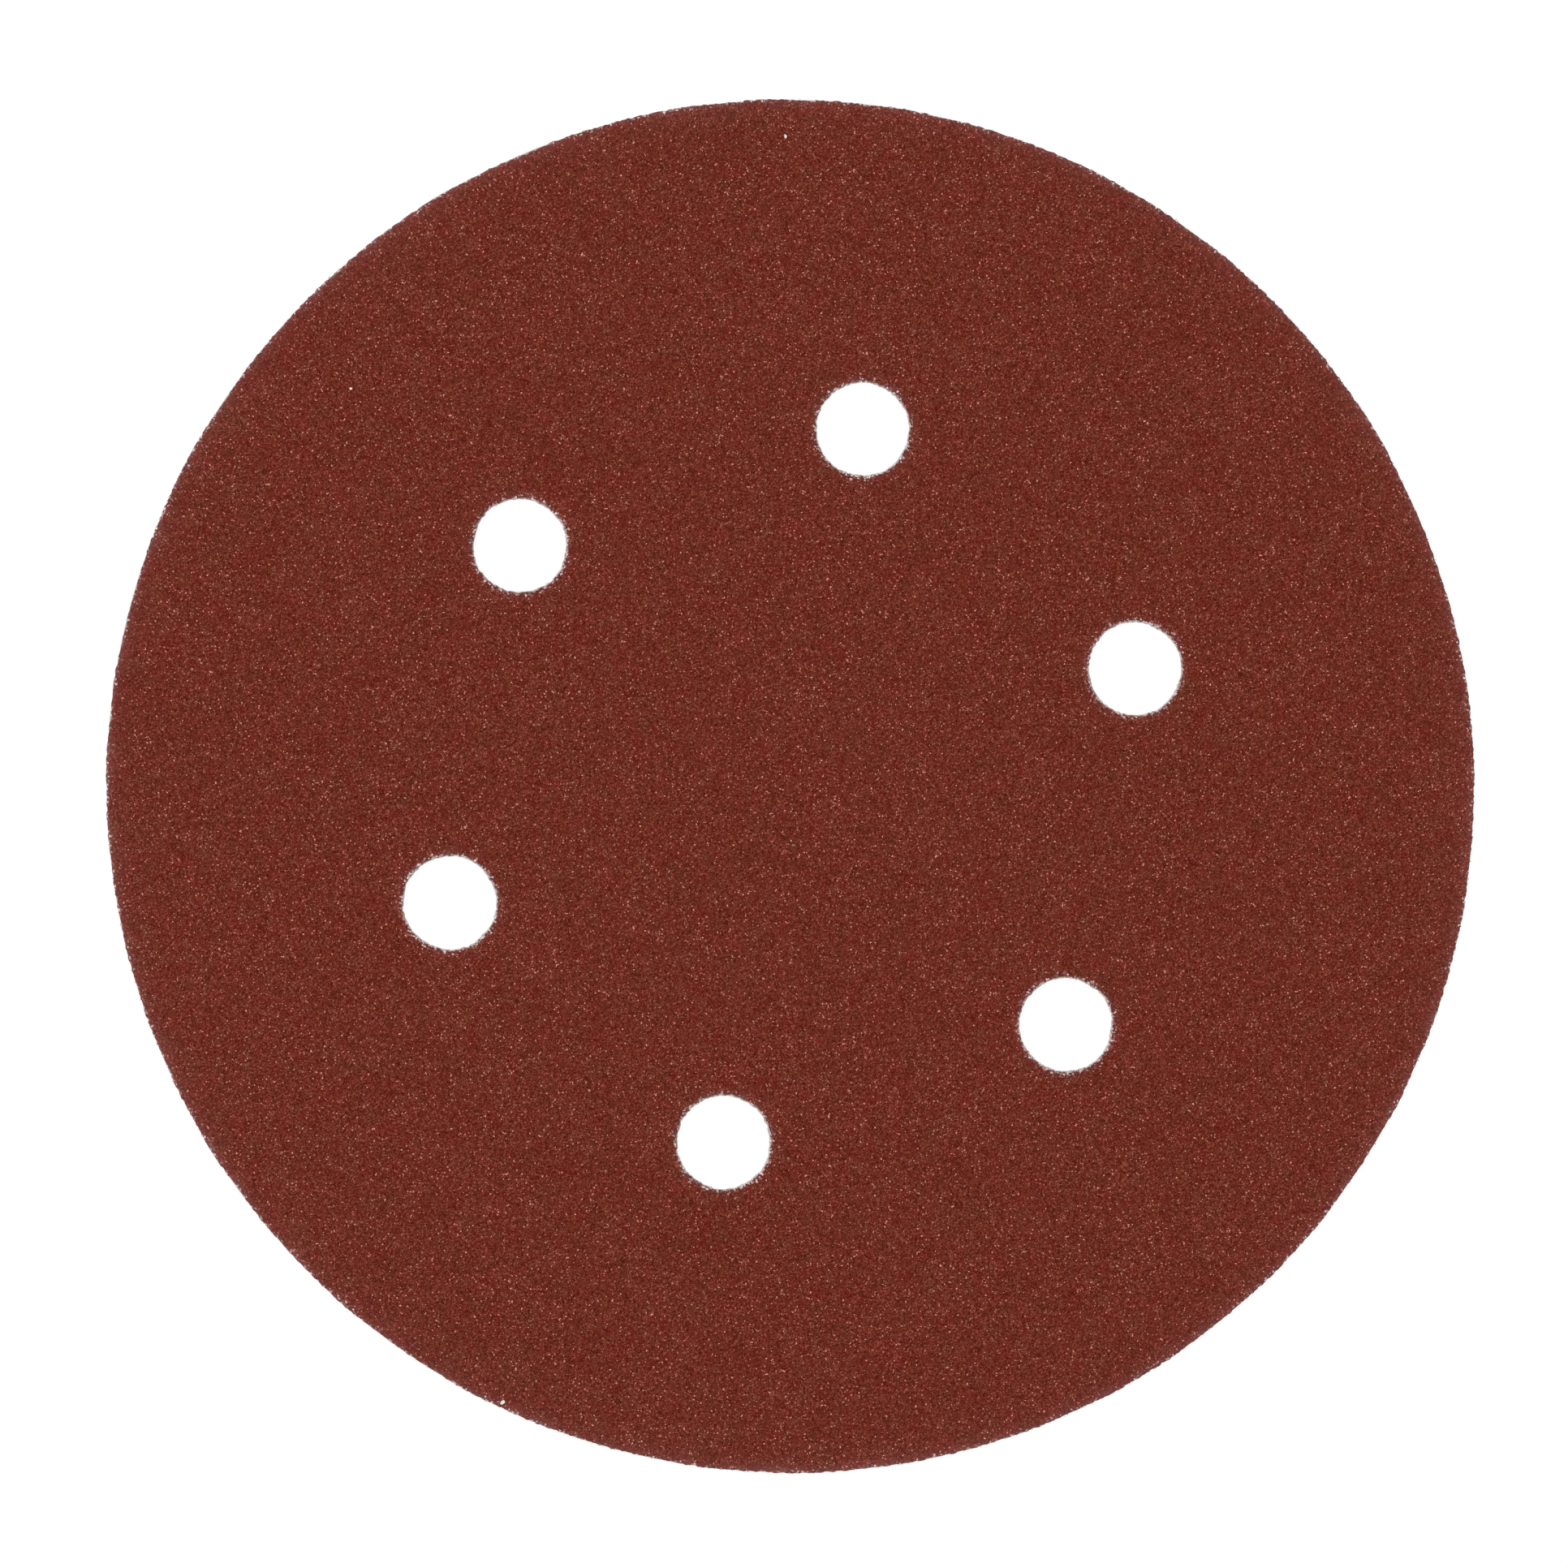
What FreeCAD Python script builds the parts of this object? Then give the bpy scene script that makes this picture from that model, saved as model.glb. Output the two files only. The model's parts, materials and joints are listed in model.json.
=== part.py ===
"""Six-hole sanding disc with a hook-and-loop back, 150 mm across.

The disc is a laminate of two sheets that were made apart and then glued and punched
together: a coated abrasive sheet (paper with a resin-bonded grain coat) on top, and a
knitted loop fabric below it, which a sander's hooked pad grips.

Frame, in millimetres: the origin is the centre of the loop face that meets the pad,
+Z points out of the grain face, and +X runs through the middle of the first dust hole.
"""

import FreeCAD, Part
import os
import Sketcher

# Driving dimensions: alias, value, meaning
SIZES = (
    ("disc_diameter", 150, "outside diameter of both sheets"),
    ("hole_circle_diameter", 79.3, "circle through the middles of the dust holes"),
    ("hole_diameter", 10.2, "punched width of each dust hole"),
    ("hole_count", 6, "dust holes, spread evenly round the circle"),
    ("paper_thickness", 0.30, "paper with its saturant, under the grain coat"),
    ("grain_coat_thickness", 0.20, "resin coats with the grains set in them"),
    ("loop_fabric_thickness", 0.60, "knitted ground and loops, at rest"),
    ("coat_edge_break", 0.08, "how far the grain coat has crumbled back at each cut edge"),
    ("pile_edge_break", 0.15, "how far the loops lean in at each cut edge"),
)

PLANE_TOLERANCE = 1e-6


def make_sizes_sheet(doc):
    """The spreadsheet that every sketch and feature below is bound to."""
    sheet = doc.addObject("Spreadsheet::Sheet", "sizes")
    for row, (alias, value, meaning) in enumerate(SIZES, start=1):
        sheet.set(f"A{row}", meaning)
        sheet.set(f"B{row}", str(value))
        sheet.setAlias(f"B{row}", alias)
    doc.recompute()
    return sheet


def origin_feature(body, role):
    """One of the body's own origin planes or axes, by its role."""
    return next(f for f in body.Origin.OriginFeatures if f.Role == role)


def circle_sketch(body, name, diameter, centre_on_x=None):
    """A sketch on the body's XY plane with one circle, both sizes given as expressions."""
    sketch = body.newObject("Sketcher::SketchObject", name)
    sketch.AttachmentSupport = (origin_feature(body, "XY_Plane"), [""])
    sketch.MapMode = "FlatFace"
    start = FreeCAD.Vector(1 if centre_on_x else 0, 0, 0)
    circle = sketch.addGeometry(Part.Circle(start, FreeCAD.Vector(0, 0, 1), 1), False)
    width = sketch.addConstraint(Sketcher.Constraint("Diameter", circle, 2))
    sketch.renameConstraint(width, "width")
    if centre_on_x:
        sketch.addConstraint(Sketcher.Constraint("PointOnObject", circle, 3, -1))
        reach = sketch.addConstraint(Sketcher.Constraint("DistanceX", -1, 1, circle, 3, 1))
        sketch.renameConstraint(reach, "reach")
        sketch.setExpression("Constraints.reach", centre_on_x)
    else:
        sketch.addConstraint(Sketcher.Constraint("Coincident", circle, 3, -1, 1))
    sketch.setExpression("Constraints.width", diameter)
    return sketch


def pad_disc(doc, body, thickness):
    """The uncut round sheet, from the body's XY plane upwards."""
    rim = circle_sketch(body, body.Name + "_rim", "sizes.disc_diameter")
    blank = body.newObject("PartDesign::Pad", body.Name + "_blank")
    blank.Profile = rim
    blank.setExpression("Length", thickness)
    doc.recompute()
    return blank


def punch_dust_holes(doc, body, blank):
    """The ring of dust holes: one punched through the blank, then turned round the axis."""
    outline = circle_sketch(
        body,
        body.Name + "_hole",
        "sizes.hole_diameter",
        centre_on_x="sizes.hole_circle_diameter / 2",
    )
    hole = body.newObject("PartDesign::Pocket", body.Name + "_first_hole")
    hole.Profile = outline
    hole.Type = "ThroughAll"
    hole.Midplane = True
    doc.recompute()
    if hole.Shape.Volume >= blank.Shape.Volume:
        raise RuntimeError(f"{body.Label}: the first dust hole cuts nothing")
    ring = body.newObject("PartDesign::PolarPattern", body.Name + "_hole_ring")
    ring.Originals = [hole]
    ring.Axis = (origin_feature(body, "Z_Axis"), [""])
    ring.Angle = 360
    ring.setExpression("Occurrences", "sizes.hole_count")
    body.Tip = ring
    doc.recompute()


def edges_at_height(shape, height):
    """Names of the edges that lie wholly in the level plane at this height."""
    names = []
    for number, edge in enumerate(shape.Edges, start=1):
        box = edge.BoundBox
        if max(abs(box.ZMin - height), abs(box.ZMax - height)) < PLANE_TOLERANCE:
            names.append(f"Edge{number}")
    return names


def break_edges(doc, body, height, width):
    """Bevel the rim and every hole where the blade cut through the face at this height."""
    cut = body.Tip
    bevel = body.newObject("PartDesign::Chamfer", body.Name + "_edge_break")
    bevel.Base = (cut, edges_at_height(cut.Shape, height))
    bevel.setExpression("Size", width)
    body.Tip = bevel
    doc.recompute()


def make_loop_backing(doc):
    """Loop fabric: its face on the pad is level, and the loops lean in at each cut edge."""
    body = doc.addObject("PartDesign::Body", "loop_backing")
    blank = pad_disc(doc, body, "sizes.loop_fabric_thickness")
    punch_dust_holes(doc, body, blank)
    break_edges(doc, body, 0, "sizes.pile_edge_break")
    return body


def make_abrasive_sheet(doc):
    """Coated abrasive: paper and grain coat, seated on the fabric, crumbled at each cut edge."""
    body = doc.addObject("PartDesign::Body", "abrasive_sheet")
    blank = pad_disc(doc, body, "sizes.paper_thickness + sizes.grain_coat_thickness")
    punch_dust_holes(doc, body, blank)
    break_edges(doc, body, blank.Shape.BoundBox.ZMax, "sizes.coat_edge_break")
    body.setExpression("Placement.Base.z", "sizes.loop_fabric_thickness")
    doc.recompute()
    return body


def check_and_export(doc, bodies):
    """Stop on any failed object or bad shape, and only then write one file for each piece."""
    for item in doc.Objects:
        if {"Invalid", "Error"} & set(item.State):
            raise RuntimeError(f"{item.Name} failed: {item.State}")
    for body in bodies:
        shape = body.Shape
        if shape.isNull() or not shape.isValid() or len(shape.Solids) != 1:
            raise RuntimeError(f"{body.Label} is not one valid solid")
    os.makedirs("parts", exist_ok=True)
    for body in bodies:
        body.Shape.exportStep(f"parts/{body.Label}.step")
        box = body.Shape.BoundBox
        print(
            f"{body.Label}: {body.Shape.Volume:.1f} mm3,"
            f" {box.XLength:.2f} x {box.YLength:.2f} x {box.ZLength:.2f} mm,"
            f" z {box.ZMin:.2f} to {box.ZMax:.2f}"
        )


def main():
    doc = FreeCAD.newDocument("sanding_disc")
    make_sizes_sheet(doc)
    bodies = [make_loop_backing(doc), make_abrasive_sheet(doc)]
    doc.recompute()
    check_and_export(doc, bodies)


main()
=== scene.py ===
"""Looks of a 150 mm sanding disc: grain coat, cut paper edges, knitted loops and the stage."""

import json
import math

import bpy
import numpy as np
from mathutils import Matrix, Vector


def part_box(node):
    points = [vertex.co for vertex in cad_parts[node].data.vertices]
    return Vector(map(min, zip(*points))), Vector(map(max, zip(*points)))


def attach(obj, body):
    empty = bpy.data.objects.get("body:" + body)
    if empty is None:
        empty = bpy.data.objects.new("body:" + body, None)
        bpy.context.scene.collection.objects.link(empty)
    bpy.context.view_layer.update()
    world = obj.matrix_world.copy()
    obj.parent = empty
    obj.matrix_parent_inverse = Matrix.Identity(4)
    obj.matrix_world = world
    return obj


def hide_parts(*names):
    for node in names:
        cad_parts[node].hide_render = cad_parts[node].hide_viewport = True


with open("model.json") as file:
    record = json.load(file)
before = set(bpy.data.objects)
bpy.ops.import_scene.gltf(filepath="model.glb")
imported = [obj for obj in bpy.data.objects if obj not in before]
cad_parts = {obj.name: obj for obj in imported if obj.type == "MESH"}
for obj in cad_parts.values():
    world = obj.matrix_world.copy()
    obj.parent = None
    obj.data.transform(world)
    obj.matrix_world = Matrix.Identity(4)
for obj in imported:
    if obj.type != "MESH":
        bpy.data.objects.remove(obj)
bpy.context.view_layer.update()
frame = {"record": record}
SHEET_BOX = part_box("abrasive_sheet")
PILE_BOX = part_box("loop_backing")
HOLE_RING = next(m for m in frame["record"]["mounts"] if m["name"] == "dust_holes")["dims"]

bl_info = {
    "name": "Sanding disc",
    "version": (1, 0, 0),
    "blender": (4, 5, 0),
    "location": "3D View > Sidebar > Sanding disc",
    "description": "Builds the looks of a sanding disc round its packed frame",
    "category": "Object",
}

MM = 0.001
BODY = "root"
BAKE_MAP = "OFBake"
TONE = "tone"

# How a cut strays from its circle: the length of the waves, and how far they reach
CUT_WAVES = (
    (30 * MM, 0.035 * MM),
    (8 * MM, 0.030 * MM),
    (2.5 * MM, 0.022 * MM),
    (0.9 * MM, 0.024 * MM),
)

# Widths of the coat's patches: darker and paler, browner and redder, yellower and mauver
TONE_PATCH = 1.6 * MM
TONE_CLOUD = 9.0 * MM
HUE_PATCH = 1.7 * MM
VEIL_PATCH = 0.6 * MM

# Along a cut: widths of the rubbed smears, of a torn speck and of a torn stretch, and its reach
SMEAR = 3.0 * MM
TORN_SPECK = 0.20 * MM
TORN_STRETCH = 0.55 * MM
TORN_REACH = 0.25 * MM

# How far in a cut rubs the coat paler: the rim, the rim again but faintly, and a hole
RIM_RUB = 0.45 * MM
FAINT_RUB = 2.5 * MM
HOLE_RUB = 0.6 * MM

# Where resin meets paper in the cut: how far in it runs low, how ragged it is and how soft
RESIN_REACH = 0.8 * MM
SEAM_STRAY = 0.14 * MM
SEAM_BLUR = 0.05 * MM

# Widths of the paper's fibres, of the fabric's filaments and patches, and of a chip's specks
PAPER_FIBRE = 0.28 * MM
FILAMENT = 0.12 * MM
FABRIC_PATCH = 2.4 * MM
CHIP_SPECK = 0.10 * MM

# Depth of the fine relief that shading gives the sheet and the fabric
SHEET_RELIEF = 0.05 * MM
FABRIC_RELIEF = 0.04 * MM

# The photograph, in its own pixels: a square frame, with the disc's true width and middle in it
FRAME_PX = 1932
DISC_WIDTH_PX = 1695.2
DISC_CENTRE_PX = (977.6, 967.6)


def length(name, description, default):
    """A size in metres that a user may change."""
    return bpy.props.FloatProperty(
        name=name, description=description, default=default, unit="LENGTH", precision=6
    )


def share(name, description, default):
    """A plain number that a user may change."""
    return bpy.props.FloatProperty(name=name, description=description, default=default)


def count(name, description, default):
    """A whole number that a user may change."""
    return bpy.props.IntProperty(name=name, description=description, default=default, min=1)


def angle(name, description, degrees):
    """An angle that a user may change, kept in radians."""
    return bpy.props.FloatProperty(
        name=name, description=description, default=math.radians(degrees), subtype="ANGLE"
    )


def colour(name, description, default):
    """A linear colour that a user may change."""
    return bpy.props.FloatVectorProperty(
        name=name, description=description, default=default, subtype="COLOR", size=3
    )


class DiscSizes(bpy.types.PropertyGroup):
    """Sizes of the disc and of the detail on it."""

    rim_radius: length("Rim", "Radius of the disc", SHEET_BOX[1].x)
    ring_radius: length("Hole ring", "Radius of the ring of holes", HOLE_RING["pcd_mm"] * MM / 2)
    hole_radius: length("Hole", "Radius of one dust hole", HOLE_RING["hole_r_mm"] * MM)
    hole_count: count("Holes", "Dust holes in the ring", HOLE_RING["count"])
    pile_bottom: length("Pile bottom", "Height of the loops' ends", PILE_BOX[0].z)
    paper_bottom: length("Paper bottom", "Height where paper and fabric meet", SHEET_BOX[0].z)
    grain_top: length("Grain top", "Height of the tallest grains", SHEET_BOX[1].z)
    paper: length("Paper", "Thickness of the paper", 0.30 * MM)
    coat_below_top: length("Coat depth", "How far the coat lies below the grain tops", 0.13 * MM)
    coat_pitch: length("Coat pitch", "Spacing of the coat's mesh", 0.49 * MM)
    coat_inset: length("Coat inset", "How far in from a cut edge the coat's mesh ends", 0.34 * MM)
    edge_pitch: length("Edge pitch", "Spacing of points along a cut edge", 0.17 * MM)
    edge_crumble: length("Edge crumble", "How far the coat has broken back at a cut edge", 0.13 * MM)
    rim_trim: length("Rim trim", "How far the rim's cut lies inside the disc's circle", 0.09 * MM)
    hole_trim: length("Hole trim", "How far the holes' cuts reach into their circles", 0.05 * MM)
    resin_run: length("Resin run", "How far the resin covers the paper's edge at the rim", 0.13 * MM)
    small_grain: length("Small grain", "Size of the small grains", 0.15 * MM)
    large_grain: length("Large grain", "Size of the large grains", 0.23 * MM)
    small_grains: count("Small grains", "Number of small grains", 42000)
    large_grains: count("Large grains", "Number of large grains", 22000)
    ground_pitch: length("Ground pitch", "Spacing of the knitted ground's mesh", 1.10 * MM)
    ground: length("Ground", "Thickness of the knitted ground", 0.16 * MM)
    ground_inset: length("Ground inset", "How far in from a cut the knitted ground ends", 0.14 * MM)
    wale_pitch: length("Wale pitch", "Spacing of the loops across the knit", 0.68 * MM)
    course_pitch: length("Course pitch", "Spacing of the loops along the knit", 0.80 * MM)
    loop_span: length("Loop span", "Width of one loop at its root", 0.75 * MM)
    strand: length("Strand", "Thickness of one strand of the loops", 0.085 * MM)
    fibre: length("Fibre", "Thickness of a fibre at a cut edge", 0.036 * MM)
    fibre_reach: length("Fibre reach", "About how long the longest fibres are", 0.24 * MM)
    fibre_spacing: length("Fibre spacing", "Edge length to each fibre", 0.150 * MM)
    grain_cell: length("Grain cell", "Width of a patch of one tone in the coat", 0.118 * MM)
    # The bare flecks are partly pale grain and partly painted glints
    bare_and_glint_cell: length("Bare cell", "Width of a bare fleck in the coat", 0.150 * MM)


class DiscColours(bpy.types.PropertyGroup):
    """Colours of the disc, linear."""

    # resin_shade is painted shade in the pits between the grains, and resin_lit is painted light on the
    # grain tops
    resin_shade: colour("Resin, shaded", "Pits between the grains", (0.047, 0.0020, 0.0009))
    resin_deep: colour("Resin, deep", "Resin low in the coat", (0.095, 0.0080, 0.0027))
    resin: colour("Resin", "Red-brown size coat", (0.155, 0.0225, 0.0104))
    resin_lit: colour("Resin, lit", "Resin on the grain tops", (0.198, 0.0375, 0.0220))
    grain_dull: colour("Grain, dull", "Grain that shows through thin resin", (0.300, 0.078, 0.053))
    grain_pale: colour("Grain, pale", "Bare grain", (0.47, 0.172, 0.132))
    # Partly white grain, partly painted glints where grains catch the light
    white_grain_and_glint: colour("Grain, white", "Bare white grain", (0.74, 0.31, 0.25))
    # Partly bare grain, partly painted glints where grains catch the light
    bare_grain_and_glint: colour("Grain, bare", "Flecks of grain with no resin on them", (0.80, 0.34, 0.27))
    browner: colour("Browner", "Tint of the resin where it is browner", (0.935, 1.16, 1.045))
    redder: colour("Redder", "Tint of the resin where it is redder", (1.065, 0.84, 0.94))
    yellower: colour("Yellower", "Tint of small patches of resin", (1.0, 1.02, 0.91))
    mauver: colour("Mauver", "Tint of the small patches between those", (1.0, 0.98, 1.10))
    scuffed: colour("Scuffed", "Coat rubbed paler towards a cut", (0.38, 0.165, 0.160))
    # torn_shade is painted shade in the pits of the broken coat
    torn_shade: colour("Torn, shaded", "Pits in the coat broken open along a cut", (0.045, 0.020, 0.016))
    torn: colour("Torn", "Coat broken open along a cut", (0.27, 0.125, 0.120))
    torn_pale: colour("Torn, pale", "Bare grain and paper in the broken coat", (0.95, 0.82, 0.79))
    # The paper is painted paler than its own colour, as painted light for light thrown up from below
    # onto the cut wall, and paper_shade is painted shade between its fibres
    paper: colour("Paper", "Cut edge of the paper", (0.78, 0.72, 0.69))
    paper_shade: colour("Paper, shaded", "Gaps between the paper's fibres", (0.46, 0.38, 0.35))
    fabric: colour("Fabric", "Loop fabric", (0.66, 0.64, 0.61))
    # fabric_shade is painted shade in the depth between the strands
    fabric_shade: colour("Fabric, shaded", "Depth between the strands", (0.40, 0.385, 0.36))
    chip: colour("Chip", "Pale chips on the face", (0.98, 0.95, 0.90))
    # chip_shade is painted shade in the chips' hollows
    chip_shade: colour("Chip, shaded", "Hollows in the pale chips", (0.66, 0.56, 0.50))


class DiscStage(bpy.types.PropertyGroup):
    """Camera and light. Bearings turn anticlockwise from the right of the picture."""

    lean: angle("Lean", "How far the camera leans from straight down", 5.5)
    lean_bearing: angle("Lean bearing", "The side that the camera leans to", 196.2)
    hole_bearing: angle("Hole bearing", "Where the first hole lies", 18.92)
    lens: share("Lens", "Focal length in millimetres", 360.0)
    sky: share("Sky", "Share of the light that comes from all round", 0.62)
    lamp: share("Lamp", "Share of the light that comes from each lamp", 0.38)
    lamp_bearing: angle("Lamp bearing", "The side that the upper lamp stands on", 150.0)
    lamp_height: angle("Lamp height", "How high the upper lamp stands", 52.0)
    lamp_distance: length("Lamp distance", "From the disc to a lamp", 3.0)
    lamp_width: length("Lamp width", "Side of a square lamp", 1.8)
    floor_width: length("Floor width", "Side of the floor", 60.0)
    floor_tone: share("Floor tone", "What the floor throws back of the light on it", 0.12)
    floor_glow: share("Floor glow", "Light that the floor shows the camera by itself", 0.92)


def even_turns(amount):
    """Angles spread evenly round a circle, the first at 0."""
    return np.arange(amount) * 2 * math.pi / amount


def on_circle(turns):
    """Plan points of the unit circle at these angles."""
    return np.stack([np.cos(turns), np.sin(turns)], 1)


def turned(along, across, turn):
    """Plan points with these coordinates, turned about the middle."""
    return np.stack([
        along * math.cos(turn) - across * math.sin(turn),
        along * math.sin(turn) + across * math.cos(turn),
    ], -1)


def hole_centres(sizes):
    """Plan positions of the dust holes, the first on +X."""
    return on_circle(even_turns(sizes.hole_count)) * sizes.ring_radius


def nearest_cut(points, sizes):
    """How far each plan point lies in from the nearest cut edge, and the way in from it."""
    radius = np.linalg.norm(points, axis=1)
    depth = sizes.rim_radius - radius
    inward = -points / np.maximum(radius, 1e-9)[:, None]
    for centre in hole_centres(sizes):
        away = points - centre
        reach = np.linalg.norm(away, axis=1)
        closer = reach - sizes.hole_radius < depth
        depth = np.where(closer, reach - sizes.hole_radius, depth)
        inward = np.where(closer[:, None], away / np.maximum(reach, 1e-9)[:, None], inward)
    return depth, inward


def plan_lattice(pitch, inset, sizes):
    """Even plan points that end this far in from each cut, their triangles, and which are on the end."""
    row = pitch * math.sqrt(3) / 2
    rows = math.ceil(sizes.rim_radius / row) + 1
    columns = math.ceil(sizes.rim_radius / pitch) + 2
    j, i = np.meshgrid(np.arange(-rows, rows + 1), np.arange(-columns, columns + 1), indexing="ij")
    points = np.stack([(i + 0.5 * (j % 2)) * pitch, j * row], -1).reshape(-1, 2)
    name = np.arange(j.size).reshape(j.shape)
    leans = j[:-1, :-2] % 2 == 1
    here, beside = name[:-1, 1:-1], name[:-1, 2:]
    above = np.where(leans, name[1:, 2:], name[1:, 1:-1])
    above_left = np.where(leans, name[1:, 1:-1], name[1:, :-2])
    upright = np.stack([here, beside, above], -1).reshape(-1, 3)
    hanging = np.stack([here, above, above_left], -1).reshape(-1, 3)
    triangles = np.concatenate([upright, hanging])

    depth, inward = nearest_cut(points, sizes)
    depth = depth - inset
    on_end = np.abs(depth) <= pitch / 2
    points = np.where(on_end[:, None], points - inward * depth[:, None], points)
    kept = depth > -pitch / 2
    whole = kept[triangles].all(1) & ~on_end[triangles].all(1)
    triangles = triangles[whole]
    used, triangles = np.unique(triangles, return_inverse=True)
    return points[used], triangles.reshape(-1, 3), on_end[used]


def scatter(amount, inset, sizes, rng):
    """Random plan points over the disc, each at least this far in from every cut edge."""
    found = np.empty((0, 2))
    while len(found) < amount:
        tries = rng.uniform(-sizes.rim_radius, sizes.rim_radius, (amount, 2))
        found = np.concatenate([found, tries[nearest_cut(tries, sizes)[0] > inset]])
    return found[:amount]


def soft_noise(points, wavelength, rng, waves=24):
    """Smooth uneven heights from -1 to 1 over the plan, from waves of about this length."""
    turns = rng.uniform(0, 2 * math.pi, (waves, 2))
    steps = 2 * math.pi / (wavelength * rng.uniform(0.7, 1.6, waves))
    along = on_circle(turns[:, 0]) * steps[:, None]
    return np.sin(points @ along.T + turns[:, 1]).sum(1) / math.sqrt(waves) / 1.5


def strayed(turns, radius, rng):
    """How far a round cut strays from its circle at each turn: slow waves and fine ones."""
    kinds = [kind for kind in CUT_WAVES if kind[0] < 2 * radius]
    waves_each = 5
    total = np.zeros(len(turns))
    for wavelength, reach in kinds:
        around = 2 * math.pi * radius / wavelength
        for _ in range(waves_each):
            waves = max(3, round(around * rng.uniform(0.6, 1.6)))
            swing = np.sin(waves * turns + rng.uniform(0, 2 * math.pi))
            total += swing * reach * math.sqrt(2 / waves_each)
    return total


def random_turns(amount, rng):
    """Rotation matrices spread evenly over all directions."""
    x, y, z, w = rng.normal(size=(4, amount))
    size = np.sqrt(x * x + y * y + z * z + w * w)
    x, y, z, w = x / size, y / size, z / size, w / size
    rows = [
        [1 - 2 * (y * y + z * z), 2 * (x * y - z * w), 2 * (x * z + y * w)],
        [2 * (x * y + z * w), 1 - 2 * (x * x + z * z), 2 * (y * z - x * w)],
        [2 * (x * z - y * w), 2 * (y * z + x * w), 1 - 2 * (x * x + y * y)],
    ]
    return np.array(rows).transpose(2, 0, 1)


def add_object(name, data):
    """A new object with this data, in the scene."""
    made = bpy.data.objects.new(name, data)
    bpy.context.scene.collection.objects.link(made)
    return made


def add_piece(name, points, triangles, tones, smooth, material):
    """A mesh piece of the disc that rides on its body.

    tones holds one number for each of its parts, which all have the same number of points.
    """
    mesh = bpy.data.meshes.new(name)
    mesh.vertices.add(len(points))
    mesh.vertices.foreach_set("co", points.astype(np.float32).ravel())
    mesh.loops.add(triangles.size)
    mesh.loops.foreach_set("vertex_index", triangles.astype(np.int32).ravel())
    mesh.polygons.add(len(triangles))
    mesh.polygons.foreach_set("loop_start", np.arange(0, triangles.size, 3, dtype=np.int32))
    mesh.polygons.foreach_set("use_smooth", np.full(len(triangles), smooth))
    mesh.update(calc_edges=True)
    tones = np.repeat(tones, len(points) // np.size(tones)).astype(np.float32)
    mesh.attributes.new(TONE, "FLOAT", "POINT").data.foreach_set("value", tones)
    # Seen a little from the side, so that upright faces have width on the map too
    width = 2.1 * np.abs(points[:, :2]).max()
    plan = points[:, :2] + points[:, 2:] * (0.43, 0.31)
    corners = (plan / width + 0.5)[triangles.ravel()]
    mesh.uv_layers.new(name=BAKE_MAP).data.foreach_set("uv", corners.astype(np.float32).ravel())
    mesh.materials.append(material)
    if mesh.validate():
        raise RuntimeError(f"{name} has broken faces")
    piece = add_object(name, mesh)
    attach(piece, BODY)
    return piece


def solids(centres, template, faces, scales, rng):
    """One closed solid at each centre, turned at random: its corners, and the faces of all."""
    turns = random_turns(len(centres), rng)
    stretched = template[None] * scales[:, None]
    corners = np.einsum("nij,nkj->nki", turns, stretched)
    starts = np.arange(len(centres))[:, None, None] * len(template)
    return corners, (faces[None] + starts).reshape(-1, 3)


def strands(paths, thickness, upright):
    """Closed three-sided strands along the paths, pointed at both ends.

    paths holds each strand's points, and upright a direction across each strand's own plane.
    """
    amount, steps = paths.shape[:2]
    along = np.gradient(paths, axis=1)
    along /= np.linalg.norm(along, axis=2, keepdims=True)
    across = upright[:, None] - along * (along * upright[:, None]).sum(2, keepdims=True)
    across /= np.maximum(np.linalg.norm(across, axis=2, keepdims=True), 1e-9)
    third = np.cross(along, across)
    rings = []
    for corner in even_turns(3):
        offset = across * math.cos(corner) + third * math.sin(corner)
        rings.append(paths[:, 1:-1] + offset[:, 1:-1] * thickness[:, None, None] / 2)
    inner = np.stack(rings, 2).reshape(amount, -1, 3)
    points = np.concatenate([paths[:, :1], inner, paths[:, -1:]], 1)
    last = 3 * (steps - 2) + 1
    faces = []
    for corner in range(3):
        following = (corner + 1) % 3
        faces.append((0, 1 + following, 1 + corner))
        faces.append((last, last - 3 + corner, last - 3 + following))
        for ring in range(steps - 3):
            low, high = 1 + 3 * ring, 4 + 3 * ring
            faces.append((low + corner, low + following, high + following))
            faces.append((low + corner, high + following, high + corner))
    starts = np.arange(amount)[:, None, None] * (last + 1)
    return points.reshape(-1, 3), (np.array(faces)[None] + starts).reshape(-1, 3)


class Value:
    """A shader socket with Python's operators: an expression on it adds its Math nodes."""

    def __init__(self, finish, socket):
        self.finish = finish
        self.socket = socket

    def maths(self, operation, *values):
        """The result of a Math node on these values."""
        return self.finish.node("ShaderNodeMath", dict(enumerate(values)), {"operation": operation})

    def __add__(self, other):
        return self.maths("ADD", self, other)

    __radd__ = __add__

    def __sub__(self, other):
        return self.maths("SUBTRACT", self, other)

    def __rsub__(self, other):
        return self.maths("SUBTRACT", other, self)

    def __mul__(self, other):
        return self.maths("MULTIPLY", self, other)

    __rmul__ = __mul__

    def __truediv__(self, other):
        return self.maths("DIVIDE", self, other)

    def least(self, other):
        return self.maths("MINIMUM", self, other)

    def most(self, other):
        return self.maths("MAXIMUM", self, other)

    def held(self):
        """This value, kept between 0 and 1."""
        return self.most(0.0).least(1.0)

    def sharpened(self, contrast):
        """Noise near 0.5 with this contrast, kept between 0 and 1."""
        return ((self - 0.5) * contrast + 0.5).held()

    def fading(self, reach):
        """1 where this distance is 0, falling off over this reach."""
        return self.maths("EXPONENT", self * (-1 / reach))


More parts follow.
